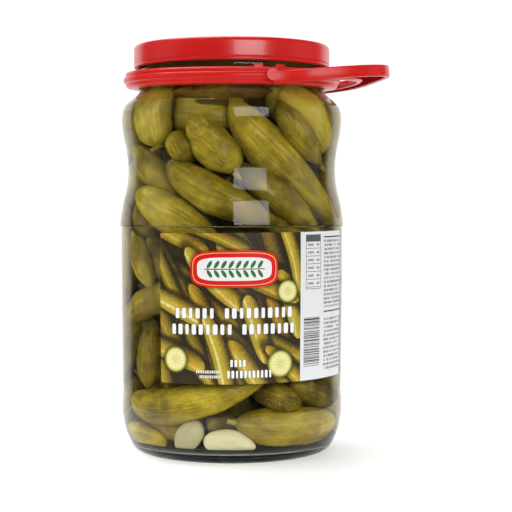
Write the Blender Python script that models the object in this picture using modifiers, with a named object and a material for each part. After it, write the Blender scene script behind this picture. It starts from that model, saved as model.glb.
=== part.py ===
"""Large glass jar of pickled cucumbers, with a twist lid and a hinged carrying handle.

The origin is the centre of the base, on the table. +Z is up, -Y is the front (the middle of
the label is a little to the right of it) and the carrying handle lies out over +X.
Lengths below are in millimetres and angles in degrees; a bearing is measured round the jar
from the front towards +X.
"""

import math
import random

import bmesh
import bpy
from mathutils import Matrix, Vector

MM = 0.001
TOUCH_GAP = 0.35

# Glass jar: key radii of the outer face, from the foot up to the neck
FOOT_R = 46.0
NECK_R = 48.4
NECK_START_Z = 191.6
RIM_Z = 211.4
OUTER_KEYS = (
    (FOOT_R, 0.0),
    (50.4, 1.0),
    (53.2, 3.4),
    (55.6, 8.2),
    (57.2, 12.8),
    (58.5, 19.5),
    (58.7, 25.0),
    (58.2, 41.0),
    (58.7, 92.0),
    (59.2, 120.8),
    (57.8, 130.6),
    (55.6, 140.2),
    (54.9, 149.0),
    (55.7, 158.4),
    (57.3, 166.4),
    (58.2, 174.8),
    (57.2, 181.0),
    (54.3, 184.5),
    (50.8, 187.5),
    (48.9, 189.6),
    (NECK_R, NECK_START_Z),
)
WALL = 3.0
FLOOR_Z = 5.0
FLOOR_R = 44.0
INNER_HEEL_KEYS = ((FLOOR_R, FLOOR_Z), (49.4, 6.6), (52.6, 10.4), (54.6, 16.0), (55.6, 24.0))
NECK_BORE_R = 44.6
RIM_ROUND = 1.0
JAR_STEPS = 40

# Twist lid
LID_R = 51.8
LID_TOP_Z = 214.0
LID_BOTTOM_Z = 201.9
LID_WALL = 1.1
LID_STEPS = 44

# Carrying ring, snapped round the neck
RING_Z = 195.9
RING_TILT = 1.6
RING_BORE_R = 49.6
RING_R = 57.4
RING_STEPS = 44
RING_LUG_BEARINGS = (13.9, 26.1)
RING_LUG_SIZE = (5.0, 2.0, 2.6)

# Handle, hinged to the ring on a line that crosses the jar 12 mm from its axis
HANDLE_BEARING = 8.0
HINGE_OFFSET = 12.0
HINGE_Z = 194.4
HANDLE_SLOPE = 5.2
HANDLE_REACH = 78.0
HANDLE_HALF_WIDTH = 63.5
HANDLE_SQUARENESS = 4.4
HANDLE_HEIGHT = 5.9
HANDLE_WALL = 2.3
HANDLE_DROP = 1.7
ARM_OUTER_V = 59.6
ARM_WIDENS_BY = 24.0
GRIP_INNER_R = 66.0
WEB_THICKNESS = 2.0
BOSS_R = 3.3
PIN_R = 1.2
PIN_HOLE_R = 1.55
PIN_TIP_V = 53.6
HOLE_TIP_V = 53.0

# Label
LABEL_LOW_Z = 41.8
LABEL_HIGH_Z = 116.6
LABEL_BEARINGS = (-37.4, 71.5)
LABEL_THICKNESS = 0.35

# Pickles: each lies along the wall from one bearing and height, past a middle one, to another
FRONT_PICKLES = {
    "top_left": ((-58, 195), (-56, 178), (-54, 161), 10.6),
    "top_across": ((-64, 177), (-28, 175.5), (10, 173), 7.8),
    "big_diagonal": ((-1, 181), (31, 153), (86, 118), 11.3),
    "dark_diagonal": ((26, 180), (44, 166), (69, 150), 7.5),
    "top_right": ((24, 189), (50, 178), (88, 158), 11.0),
    "round_end": ((-37, 167), (-33, 160), (-31, 152), 7.0),
    "stub": ((-24, 168), (-10, 159), (2, 146), 10.3),
    "long_diagonal": ((-44, 153), (-12, 135), (29, 121), 9.8),
    "right_diagonal": ((5, 152), (27, 135), (57, 115), 8.3),
    "left_small": ((-78, 163), (-62, 149), (-36, 131), 8.5),
    "left_lower": ((-73, 136), (-39, 125), (-5, 110), 9.5),
    "right_edge": ((80, 162), (84, 140), (86, 122), 8.0),
    "under_diagonal": ((20, 128), (34, 117), (44, 104), 7.5),
    "left_upright": ((-70, 114), (-60, 101), (-52, 88), 7.0),
    "left_slim": ((-54, 114), (-49, 100), (-42, 86), 6.5),
    "left_cross": ((-76, 70), (-56, 81), (-36, 87), 8.0),
    "left_stander": ((-50, 72), (-54, 54), (-57, 36), 8.0),
    "banana": ((-76, 30), (-29, 29.5), (33, 51), 9.4),
    "bottom_right": ((2, 21), (36, 18), (84, 17), 9.2),
    "low_left_tip": ((-84, 15), (-60, 12), (-42, 10), 6.5),
    "low_left_lobe": ((-66, 18), (-44, 17), (-26, 15), 6.0),
    "low_middle": ((-14, 21), (-4, 20), (5, 19), 5.5),
    "low_right_back": ((34, 41), (54, 34), (76, 26), 7.0),
    "low_right_grey": ((12, 39), (28, 33), (44, 29), 7.0),
    "behind_label_1": ((-30, 112), (-24, 80), (-30, 46), 9.5),
    "behind_label_2": ((-4, 108), (0, 76), (-6, 48), 10.0),
    "behind_label_3": ((20, 112), (26, 78), (18, 50), 9.5),
    "behind_label_4": ((52, 104), (46, 76), (52, 48), 9.5),
    "behind_label_5": ((74, 112), (72, 82), (78, 44), 9.5),
}
BACK_TURN_BEARING = 183.0
BACK_TURN_Z = 206.0
BACK_LEAST_GIRTH = 7.9
BACK_LIFT = 3.0
PICKLE_SIDES = 6
PICKLE_RINGS = 6
PICKLE_END_POWER = 2.6
BEDDING_STEP = 0.11
CORE_DEPTH = 15.5
CORE_NECK_R = 34.0
CORE_TOP_Z = 196.0
CORE_STEPS = 16
GARLIC_CLEARANCE = 0.5

# Garlic cloves: bearing, height, half length, half width, half depth and turn in the wall's plane
GARLIC = {
    "garlic_clove_1": (-1.5, 11.4, 12.6, 6.9, 5.6, 7.0),
    "garlic_clove_2": (-25.6, 14.6, 9.2, 6.2, 5.4, 140.0),
}


def catmull_rom(keys, per_span):
    """Points on a smooth curve through the keys."""
    last = len(keys) - 1
    points = []
    for i in range(last):
        p0 = keys[max(i - 1, 0)]
        p1, p2 = keys[i], keys[i + 1]
        p3 = keys[min(i + 2, last)]
        for k in range(per_span):
            t = k / per_span
            points.append(tuple(
                0.5 * (2 * b + (c - a) * t + (2 * a - 5 * b + 4 * c - d) * t * t
                       + (3 * b - a - 3 * c + d) * t ** 3)
                for a, b, c, d in zip(p0, p1, p2, p3)
            ))
    points.append(keys[last])
    return points


FINE_OUTER = catmull_rom(OUTER_KEYS, 6)


def outer_radius(z):
    """Radius of the jar's outer face at a height."""
    if z >= NECK_START_Z:
        return NECK_R
    for (r0, z0), (r1, z1) in zip(FINE_OUTER, FINE_OUTER[1:]):
        if z0 <= z <= z1:
            return r0 + (r1 - r0) * (z - z0) / (z1 - z0)
    return FOOT_R


def inner_profile():
    """The inner face from the floor to the bore: a wall's thickness inside the outer keys."""
    wall = [(r - WALL, z) for r, z in OUTER_KEYS if 30.0 < z < 183.0]
    return list(INNER_HEEL_KEYS) + wall + [(50.2, 183.4), (46.4, 187.6), (NECK_BORE_R, 191.2)]


def inner_radius(z):
    """Radius of the jar's inner face at a height."""
    if z <= FLOOR_Z:
        return FLOOR_R
    profile = inner_profile()
    for (r0, z0), (r1, z1) in zip(profile, profile[1:]):
        if z0 <= z <= z1:
            return r0 + (r1 - r0) * (z - z0) / (z1 - z0)
    return NECK_BORE_R


def wall_point(bearing, rho, z):
    """A point in metres at a bearing round the jar, a distance from its axis and a height."""
    a = math.radians(bearing)
    return Vector((rho * math.sin(a), -rho * math.cos(a), z)) * MM


def material(name, colour, roughness, metallic=0.0, alpha=1.0):
    mat = bpy.data.materials.new(name)
    mat.use_nodes = True
    shader = mat.node_tree.nodes["Principled BSDF"]
    shader.inputs["Base Color"].default_value = (*colour, 1.0)
    shader.inputs["Roughness"].default_value = roughness
    shader.inputs["Metallic"].default_value = metallic
    shader.inputs["Alpha"].default_value = alpha
    return mat


def new_object(name, bm, collection, mat=None):
    mesh = bpy.data.meshes.new(name)
    bm.to_mesh(mesh)
    bm.free()
    obj = bpy.data.objects.new(name, mesh)
    collection.objects.link(obj)
    if mat is not None:
        mesh.materials.append(mat)
    mesh.shade_smooth()
    mesh.set_sharp_from_angle(angle=math.radians(38))
    return obj


def apply_modifiers(obj):
    """Replace an object's mesh by its evaluated one."""
    depsgraph = bpy.context.evaluated_depsgraph_get()
    mesh = bpy.data.meshes.new_from_object(obj.evaluated_get(depsgraph))
    old = obj.data
    obj.modifiers.clear()
    obj.data = mesh
    bpy.data.meshes.remove(old)


def turned(name, profile, steps, collection, mat, closed=False):
    """A solid of revolution from a profile in millimetres, outer side running downwards."""
    bm = bmesh.new()
    verts = [bm.verts.new((r * MM, 0.0, z * MM)) for r, z in profile]
    pairs = list(zip(verts, verts[1:]))
    if closed:
        pairs.append((verts[-1], verts[0]))
    for a, b in pairs:
        bm.edges.new((a, b))
    obj = new_object(name, bm, collection, mat)
    screw = obj.modifiers.new("Turn", "SCREW")
    screw.axis = "Z"
    screw.steps = steps
    screw.render_steps = steps
    screw.use_merge_vertices = True
    screw.merge_threshold = 0.00001
    screw.use_smooth_shade = True
    return obj


def sweep(name, sections, collection, mat=None, closed=False):
    """A solid through a row of cross-sections of equal point count, capped at its ends."""
    bm = bmesh.new()
    rings = [[bm.verts.new(p) for p in section] for section in sections]
    count = len(rings[0])
    pairs = list(zip(rings, rings[1:]))
    if closed:
        pairs.append((rings[-1], rings[0]))
    for low, high in pairs:
        for i in range(count):
            j = (i + 1) % count
            bm.faces.new((low[i], low[j], high[j], high[i]))
    if not closed:
        bm.faces.new(tuple(reversed(rings[0])))
        bm.faces.new(rings[-1])
    bmesh.ops.recalc_face_normals(bm, faces=bm.faces)
    if bm.calc_volume(signed=True) < 0:
        bmesh.ops.reverse_faces(bm, faces=bm.faces)
    return new_object(name, bm, collection, mat)


def guide(obj):
    """Mark a cutter, which shapes another piece and isn't one itself."""
    obj.hide_render = True
    obj.display_type = "WIRE"
    return obj


def boolean(obj, tool, operation):
    mod = obj.modifiers.new(operation.title(), "BOOLEAN")
    mod.operation = operation
    mod.object = tool
    return mod


def cylinder(name, collection, radius, start, end, sides=16):
    """A cylinder in millimetres between two points."""
    a, b = Vector(start) * MM, Vector(end) * MM
    bm = bmesh.new()
    bmesh.ops.create_cone(
        bm, cap_ends=True, segments=sides, radius1=radius * MM, radius2=radius * MM,
        depth=(b - a).length,
    )
    turn = (b - a).to_track_quat("Z", "Y").to_matrix().to_4x4()
    bm.transform(Matrix.Translation((a + b) / 2) @ turn)
    return new_object(name, bm, collection)


def glass_jar(parts, mat):
    """Hollow jar: floor, inner wall, bore, rim, neck, waisted outer wall and flat foot."""
    rim = [
        (NECK_BORE_R, RIM_Z - RIM_ROUND),
        (NECK_BORE_R + RIM_ROUND, RIM_Z),
        (NECK_R - RIM_ROUND, RIM_Z),
        (NECK_R, RIM_Z - RIM_ROUND),
    ]
    outer_down = list(reversed(OUTER_KEYS))
    profile = [(0.0, FLOOR_Z)] + inner_profile() + rim + outer_down + [(0.0, 0.0)]
    return turned("glass_jar", profile, JAR_STEPS, parts, mat)


def lid(parts, mat):
    """Cap with a raised rim round its flat top, a straight skirt and a curl at the bottom."""
    inner = LID_R - LID_WALL
    ceiling = RIM_Z + 0.5
    profile = [
        (0.0, LID_TOP_Z - 0.7),
        (45.8, LID_TOP_Z - 0.7),
        (47.0, LID_TOP_Z - 0.1),
        (49.6, LID_TOP_Z),
        (51.0, LID_TOP_Z - 0.6),
        (LID_R, LID_TOP_Z - 2.0),
        (LID_R, LID_BOTTOM_Z + 1.0),
        (LID_R - 0.4, LID_BOTTOM_Z + 0.2),
        (LID_R - 1.2, LID_BOTTOM_Z),
        (LID_R - 2.3, LID_BOTTOM_Z + 0.4),
        (LID_R - 2.3, LID_BOTTOM_Z + 1.5),
        (inner, LID_BOTTOM_Z + 2.0),
        (inner, ceiling - 1.0),
        (inner - 1.0, ceiling),
        (0.0, ceiling),
    ]
    return turned("lid", profile, LID_STEPS, parts, mat)


def ring_section():
    """The ring's ribbed section about its own centre height: radius and height."""
    return [
        (RING_BORE_R + 0.4, 2.6),
        (53.6, 4.2),
        (54.9, 4.2),
        (55.8, 3.6),
        (56.4, 2.7),
        (55.9, 2.0),
        (56.9, 1.3),
        (RING_R, 0.2),
        (57.2, -1.2),
        (56.1, -1.9),
        (56.0, -3.2),
        (55.0, -4.2),
        (RING_BORE_R + 1.0, -4.6),
        (RING_BORE_R, -4.2),
        (RING_BORE_R, 2.0),
    ]


def carry_ring(parts, cutters, mat):
    """Ring that clasps the neck, dipping at the front, with a blind hinge hole on each side."""
    ring = turned("carry_ring", ring_section(), RING_STEPS, parts, mat, closed=True)
    apply_modifiers(ring)
    ring.location = (0.0, 0.0, RING_Z * MM)
    ring.rotation_euler = (math.radians(RING_TILT), 0.0, 0.0)
    tilt = Matrix.Translation(ring.location) @ ring.rotation_euler.to_matrix().to_4x4()
    length, depth, height = RING_LUG_SIZE
    for number, bearing in enumerate(RING_LUG_BEARINGS):
        for side, turn in (("front", 0.0), ("back", 180.0)):
            around = bearing if turn == 0.0 else turn + 2 * HANDLE_BEARING - bearing
            bm = bmesh.new()
            bmesh.ops.create_cube(bm, size=1.0)
            bm.transform(Matrix.Diagonal((length * MM, depth * MM, height * MM, 1.0)))
            place = Matrix.Rotation(math.radians(around), 4, "Z")
            bm.transform(tilt @ place @ Matrix.Translation(Vector((0.0, -54.2, 4.1)) * MM))
            lug = guide(new_object(f"lug_{side}_{number}", bm, cutters))
            boolean(ring, lug, "UNION")
    for side in (-1, 1):
        hole = cylinder(
            f"hinge_hole_{side}", cutters, PIN_HOLE_R,
            handle_point(HINGE_OFFSET, side * HOLE_TIP_V, HINGE_Z),
            handle_point(HINGE_OFFSET, side * (RING_R + 4.0), HINGE_Z),
        )
        boolean(ring, guide(hole), "DIFFERENCE")
    return ring


def handle_point(u, v, z):
    """World millimetres of a point u along the handle's direction and v across it."""
    a = math.radians(HANDLE_BEARING)
    return (u * math.cos(a) - v * math.sin(a), u * math.sin(a) + v * math.cos(a), z)


def handle_outline(angle, inset):
    """The hoop's outline in plan: a squarish oval that narrows to the hinges."""
    c, s = math.cos(angle), math.sin(angle)
    reach, half = HANDLE_REACH - inset, HANDLE_HALF_WIDTH - inset
    r = (abs(c / reach) ** HANDLE_SQUARENESS
         + abs(s / half) ** HANDLE_SQUARENESS) ** (-1 / HANDLE_SQUARENESS)
    u, v = r * c, r * s
    closeness = max(0.0, 1.0 - (u - HINGE_OFFSET) / ARM_WIDENS_BY)
    blend = closeness * closeness * (3 - 2 * closeness)
    narrow = (HANDLE_HALF_WIDTH - ARM_OUTER_V) * min(1.0, blend)
    return u, v - math.copysign(narrow, v)


def hoop_angles():
    """Stations round the hoop from the front hinge to the back one, closer at the corners."""
    last = math.atan2(HANDLE_HALF_WIDTH, HINGE_OFFSET)
    count = 44
    return [last * (2 * i / count - 1) for i in range(count + 1)]


def carry_handle(parts, cutters, mat):
    """Hoop with a flat crescent grip inside its tip, and a boss and pin at each arm's end.

    It is modelled in its own frame, X along the handle and Y along the hinge line.
    """
    middle = -HANDLE_DROP
    half = HANDLE_HEIGHT / 2
    slope = math.radians(HANDLE_SLOPE)

    def local(u, v, z):
        return Vector(((u - HINGE_OFFSET) / math.cos(slope), v, z)) * MM

    band, web = [], []
    for angle in hoop_angles():
        uo, vo = handle_outline(angle, 0.0)
        ui, vi = handle_outline(angle, HANDLE_WALL)
        us, vs = uo + 0.2 * (ui - uo), vo + 0.2 * (vi - vo)
        band.append([
            local(us, vs, middle - half),
            local(uo, vo, middle - half + 0.5),
            local(uo, vo, middle + half - 0.5),
            local(us, vs, middle + half),
            local(ui, vi, middle + half),
            local(ui, vi, middle - half),
        ])
        um, vm = 0.5 * (uo + ui), 0.5 * (vo + vi)
        bearing = math.atan2(vm, um)
        ug, vg = GRIP_INNER_R * math.cos(bearing), GRIP_INNER_R * math.sin(bearing)
        if math.hypot(um, vm) > GRIP_INNER_R + 1.2:
            low = middle - half + 0.3
            high = low + WEB_THICKNESS
            web.append([local(um, vm, low), local(ug, vg, low), local(ug, vg, high), local(um, vm, high)])
    handle = sweep("carry_handle", band, parts, mat)
    grip = sweep("grip", web, cutters)
    tools = [grip]
    for side in (-1, 1):
        tools.append(cylinder(
            f"boss_{side}", cutters, BOSS_R, (0.0, side * (ARM_OUTER_V - HANDLE_WALL), 0.0),
            (0.0, side * (ARM_OUTER_V + 0.3), 0.0), 20,
        ))
        tools.append(cylinder(
            f"pin_{side}", cutters, PIN_R, (0.0, side * PIN_TIP_V, 0.0),
            (0.0, side * (ARM_OUTER_V - 1.0), 0.0), 12,
        ))
    for tool in tools:
        boolean(handle, guide(tool), "UNION")
    place = Vector(handle_point(HINGE_OFFSET, 0.0, HINGE_Z)) * MM
    turn = (0.0, -slope, math.radians(HANDLE_BEARING))
    for obj in [handle] + tools:
        obj.location = place
        obj.rotation_euler = turn
    return handle


def label(parts, mat):
    """Paper skin round the front and right of the jar, open along its edges."""
    rows, columns = 6, 22
    low, high = LABEL_BEARINGS
    bm = bmesh.new()
    grid = []
    for j in range(rows + 1):
        z = LABEL_LOW_Z + (LABEL_HIGH_Z - LABEL_LOW_Z) * j / rows
        rho = outer_radius(z) + TOUCH_GAP
        grid.append([bm.verts.new(wall_point(low + (high - low) * i / columns, rho, z))
                     for i in range(columns + 1)])
    for below, above in zip(grid, grid[1:]):
        for i in range(columns):
            bm.faces.new((below[i], below[i + 1], above[i + 1], above[i]))
    obj = new_object("label", bm, parts, mat)
    solidify = obj.modifiers.new("Paper", "SOLIDIFY")
    solidify.thickness = LABEL_THICKNESS * MM
    solidify.offset = 1.0
    return obj


def press_inside(point, bedding=0.0):
    """Move a point in metres off the glass, as a soft cucumber flattens against the wall."""
    x, y, z = point / MM
    z = min(max(z, FLOOR_Z + TOUCH_GAP), CORE_TOP_Z)
    rho = math.hypot(x, y)
    most = min(inner_radius(z), inner_radius(z + 2.5), inner_radius(z - 2.5)) - 2 * TOUCH_GAP - bedding
    scale = min(1.0, most / max(rho, 1e-6))
    return Vector((x * scale, y * scale, z)) * MM


def pickle_axis(ends, girth, t):
    """A point on a pickle's centreline, which keeps the girth's distance to the wall."""
    (b0, z0), (b1, z1), (b2, z2) = ends
    w0, w1, w2 = (1 - t) * (1 - 2 * t), 4 * t * (1 - t), t * (2 * t - 1)
    bearing, z = w0 * b0 + w1 * b1 + w2 * b2, w0 * z0 + w1 * z1 + w2 * z2
    return wall_point(bearing, inner_radius(z) - girth - TOUCH_GAP, z)


def pickle(name, ends, girth, number, collection):
    """A plump tapered body along its centreline, each bedded a little differently on the glass."""
    bedding = BEDDING_STEP * (number * 5 % 13)
    sections = []
    for k in range(PICKLE_RINGS):
        t = 0.5 - 0.5 * math.cos(math.pi * (k + 0.22) / (PICKLE_RINGS - 0.56))
        centre = pickle_axis(ends, girth, t)
        ahead = pickle_axis(ends, girth, min(t + 0.02, 1.02)) - centre
        out = Vector((centre.x, centre.y, 0.0)).normalized()
        side = ahead.cross(out).normalized()
        up = side.cross(ahead).normalized()
        radius = girth * MM * (1 - abs(2 * t - 1) ** PICKLE_END_POWER) ** 0.5
        section = []
        for i in range(PICKLE_SIDES):
            a = 2 * math.pi * (i + 0.37 * number) / PICKLE_SIDES
            point = centre + radius * (math.cos(a) * up + math.sin(a) * side)
            section.append(press_inside(point, bedding))
        sections.append(section)
    return sweep(name, sections, collection)


def all_pickles():
    """The front pickles, and the stouter ones again, upside down, round the back."""
    rows = dict(FRONT_PICKLES)
    draw = random.Random(7)
    for name, (a, b, c, girth) in FRONT_PICKLES.items():
        if girth < BACK_LEAST_GIRTH:
            continue
        lean = draw.uniform(-5.0, 5.0)
        lift = draw.uniform(-BACK_LIFT, BACK_LIFT)
        turned_over = []
        for number, (bearing, z) in enumerate((a, b, c)):
            turned_over.append((BACK_TURN_BEARING - bearing + lean * (number - 1), BACK_TURN_Z - z + lift))
        rows["back_" + name] = (*turned_over, girth)
    return rows


def clove_matrix(bearing, z, half_depth, turn):
    centre = wall_point(bearing, inner_radius(z) - half_depth - 1.0, z)
    around = Matrix.Rotation(math.radians(bearing), 4, "Z")
    return Matrix.Translation(centre) @ around @ Matrix.Rotation(math.radians(turn), 4, "Y")


def clove(name, row, collection, mat=None, grow=0.0):
    """A garlic clove: a plump drop, pointed at its +X end, flatter towards the glass."""
    bearing, z, half_length, half_width, half_depth, turn = row
    bm = bmesh.new()
    bmesh.ops.create_uvsphere(bm, u_segments=12, v_segments=8, radius=1.0)
    bm.transform(Matrix.Rotation(math.radians(90), 4, "Y"))
    place = clove_matrix(bearing, z, half_depth, turn)
    for vert in bm.verts:
        x, y, h = vert.co
        slim = 1.0 - 0.42 * max(x, 0.0) ** 2
        vert.co = Vector((
            x * (half_length + grow), y * slim * (half_depth + grow), h * slim * (half_width + grow),
        )) * MM
        vert.co = place @ vert.co
        if grow == 0.0:
            vert.co = press_inside(vert.co)
    bmesh.ops.recalc_face_normals(bm, faces=bm.faces)
    return new_object(name, bm, collection, mat)


def keep_largest_shell(obj):
    """Fill the hollows that fusing sealed and drop loose scraps: only the outer skin stays."""
    bm = bmesh.new()
    bm.from_mesh(obj.data)
    bmesh.ops.triangulate(bm, faces=bm.faces)
    left = set(bm.faces)
    shells = []
    while left:
        stack = [left.pop()]
        shell = list(stack)
        while stack:
            face = stack.pop()
            for edge in face.edges:
                for other in edge.link_faces:
                    if other in left:
                        left.remove(other)
                        stack.append(other)
                        shell.append(other)
        shells.append(shell)
    biggest = max(shells, key=len)
    spare = [face for shell in shells if shell is not biggest for face in shell]
    if spare:
        bmesh.ops.delete(bm, geom=spare, context="FACES")
    bm.to_mesh(obj.data)
    bm.free()


def pickle_heap(parts, cutters, mat):
    """One fused heap: a round core, and the pickles that show against the glass."""
    core_profile = [(0.0, CORE_TOP_Z), (CORE_NECK_R, CORE_TOP_Z - 1.0), (CORE_NECK_R, 186.0)]
    core_profile += [(inner_radius(z) - CORE_DEPTH, z) for z in (172.0, 149.0, 120.0, 60.0, 24.0)]
    core_profile += [(33.0, 9.0), (0.0, 8.0)]
    heap = turned("pickle_heap", core_profile, CORE_STEPS, parts, mat)
    group = bpy.data.collections.new("pickles_to_fuse")
    bpy.context.scene.collection.children.link(group)
    for number, (name, (a, b, c, girth)) in enumerate(all_pickles().items()):
        guide(pickle("fuse_" + name, (a, b, c), girth, number, group))
    fuse = heap.modifiers.new("Fuse", "BOOLEAN")
    fuse.operation = "UNION"
    fuse.operand_type = "COLLECTION"
    fuse.collection = group
    apply_modifiers(heap)
    for name, row in GARLIC.items():
        boolean(heap, guide(clove("room_for_" + name, row, cutters, grow=GARLIC_CLEARANCE)), "DIFFERENCE")
    apply_modifiers(heap)
    for obj in list(group.objects):
        bpy.data.objects.remove(obj)
    bpy.data.collections.remove(group)
    keep_largest_shell(heap)
    return heap


def main():
    for obj in list(bpy.data.objects):
        bpy.data.objects.remove(obj)
    parts = bpy.data.collections.new("pickle_jar")
    cutters = bpy.data.collections.new("cutters")
    for collection in (parts, cutters):
        bpy.context.scene.collection.children.link(collection)
    red = (0.58, 0.012, 0.01)
    glass_jar(parts, material("glass", (0.86, 0.9, 0.87), 0.03, alpha=0.3))
    lid(parts, material("lid_red", red, 0.28))
    plastic = material("handle_red", red, 0.35)
    carry_ring(parts, cutters, plastic)
    carry_handle(parts, cutters, plastic)
    label(parts, material("label_print", (0.5, 0.4, 0.14), 0.4))
    pickle_heap(parts, cutters, material("pickle_green", (0.27, 0.21, 0.035), 0.4))
    cream = material("garlic_cream", (0.75, 0.68, 0.42), 0.35)
    for name, row in GARLIC.items():
        clove(name, row, parts, cream)


main()
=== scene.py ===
"""Looks of the pickle jar: clear glass, brine, pickles, garlic, red lid, ring and handle, label.

Lengths are in millimetres and angles in degrees until a mesh is made. A bearing is measured
round the jar from the front (-Y) towards +X, the side of the carrying handle.
"""

import math
import random

import bmesh
import bpy
import numpy as np
from mathutils import Matrix, Vector


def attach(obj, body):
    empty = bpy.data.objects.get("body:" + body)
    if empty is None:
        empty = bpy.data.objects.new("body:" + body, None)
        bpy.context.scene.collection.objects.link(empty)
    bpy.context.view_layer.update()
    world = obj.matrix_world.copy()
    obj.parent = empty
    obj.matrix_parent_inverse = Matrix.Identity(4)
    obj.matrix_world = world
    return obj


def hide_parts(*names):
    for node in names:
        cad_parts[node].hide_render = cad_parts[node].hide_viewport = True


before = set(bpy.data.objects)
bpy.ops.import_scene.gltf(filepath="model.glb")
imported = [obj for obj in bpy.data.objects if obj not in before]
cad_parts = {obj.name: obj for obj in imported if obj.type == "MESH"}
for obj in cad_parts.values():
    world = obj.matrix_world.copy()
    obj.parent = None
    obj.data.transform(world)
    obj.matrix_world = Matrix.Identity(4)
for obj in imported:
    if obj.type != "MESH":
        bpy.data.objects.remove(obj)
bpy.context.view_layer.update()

MM = 0.001
TOUCH_GAP = 0.35

# Glass jar: key radii of the outer face from the foot up, as in the solids
OUTER_KEYS = (
    (46.0, 0.0), (50.4, 1.0), (53.2, 3.4), (55.6, 8.2), (57.2, 12.8), (58.5, 19.5),
    (58.7, 25.0), (58.2, 41.0), (58.7, 92.0), (58.7, 117.6), (59.15, 119.2), (59.2, 121.6),
    (57.8, 130.6), (55.6, 140.2), (54.9, 149.0), (55.7, 158.4), (57.3, 166.4), (58.2, 174.8),
    (57.2, 181.0), (54.3, 184.5), (50.8, 187.5), (48.9, 189.6), (48.4, 191.6),
)
NECK_R = 48.4
NECK_BORE_R = 44.6
RIM_Z = 211.4
WALL = 3.0
FLOOR_Z = 5.0
INNER_HEEL_KEYS = ((44.0, FLOOR_Z), (49.4, 6.6), (52.6, 10.4), (54.6, 16.0), (55.6, 24.0))
PUSH_UP = 2.4
NECK_BEAD_R = 49.1
NECK_BEAD_Z = 200.7
JAR_STEPS = 144
FOOT_TOP_Z = 14.0
BRINE_LEVEL_Z = 205.0
BRINE_BITE = 0.6

# Lid
LID_R = 51.8
LID_TOP_Z = 214.0
LID_BOTTOM_Z = 201.9
LID_WALL = 1.1

# Carrying ring, snapped round the neck
RING_Z = 195.9
RING_TILT = 1.6
RING_BORE_R = 49.6
RING_R = 57.4
RING_LUG_BEARINGS = (13.9, 26.1)
RING_LUG_SIZE = (5.0, 2.0, 2.6)
RING_LUG_R = 54.2
RING_LUG_Z = 4.1
PIN_HOLE_R = 1.55
PIN_HOLE_V = 53.0

# Handle, hinged to the ring on a line that crosses the jar 12 mm from its axis
HANDLE_BEARING = 8.0
HINGE_OFFSET = 12.0
HINGE_Z = 194.4
HANDLE_SLOPE = 5.2
HANDLE_REACH = 78.0
HANDLE_HALF_WIDTH = 63.5
HANDLE_SQUARENESS = 4.4
HANDLE_HEIGHT = 5.9
HANDLE_WALL = 2.3
HANDLE_DROP = 1.7
ARM_OUTER_V = 59.6
ARM_WIDENS_BY = 24.0
GRIP_INNER_R = 66.0
HANDLE_STATIONS = 150
WEB_THICKNESS = 2.0
GRIP_RECESS = 0.9
BOSS_R = 2.95
PIN_R = 1.2
PIN_TIP_V = 53.6

# Label: the picture panel runs from the left edge, the plain panel to the right one. The
# sheet's length is measured along the glass at one height.
LABEL_LOW_Z = 41.8
LABEL_HIGH_Z = 116.6
LABEL_HEIGHT = LABEL_HIGH_Z - LABEL_LOW_Z
LABEL_ARC_Z = 80.0
LABEL_BEARINGS = (-37.4, 71.5)
LABEL_GAP = 0.1
LABEL_THICKNESS = 0.25
LABEL_TILT = 0.0075

# Label print, in millimetres from the sheet's lower left corner. The plaque is given by its
# centre, half width and half height, a slice by its centre and radius, a row of white dashes
# by its left, right, low and high edges and its pitch.
PANEL_WIDTH = 74.7
PRINTED_PICKLES = 40
PRINT_SEED = 4
PRINT_GROUND = 0.06
PRINT_MARGIN = 4.0
PRINT_SPREAD = (0.7549, 0.5698)
PLAQUE = (39.5, 57.0, 22.0, 9.2)
PRINT_SLICES = ((9.0, 12.0, 6.6), (67.0, 45.5, 5.8), (63.0, 9.5, 7.0))
WHITE_ROWS = (
    (8.5, 30.1, 32.6, 37.8, 3.6),
    (34.0, 70.0, 32.6, 37.8, 3.6),
    (6.5, 38.9, 24.6, 29.8, 3.6),
    (42.6, 71.4, 24.6, 29.8, 3.6),
    (37.0, 45.4, 8.6, 12.2, 2.1),
    (35.5, 58.6, 3.0, 6.8, 2.1),
    (20.0, 32.6, 5.4, 6.9, 0.9),
    (21.8, 32.6, 3.0, 4.5, 0.9),
)
LINE_PITCH = 2.1

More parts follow.
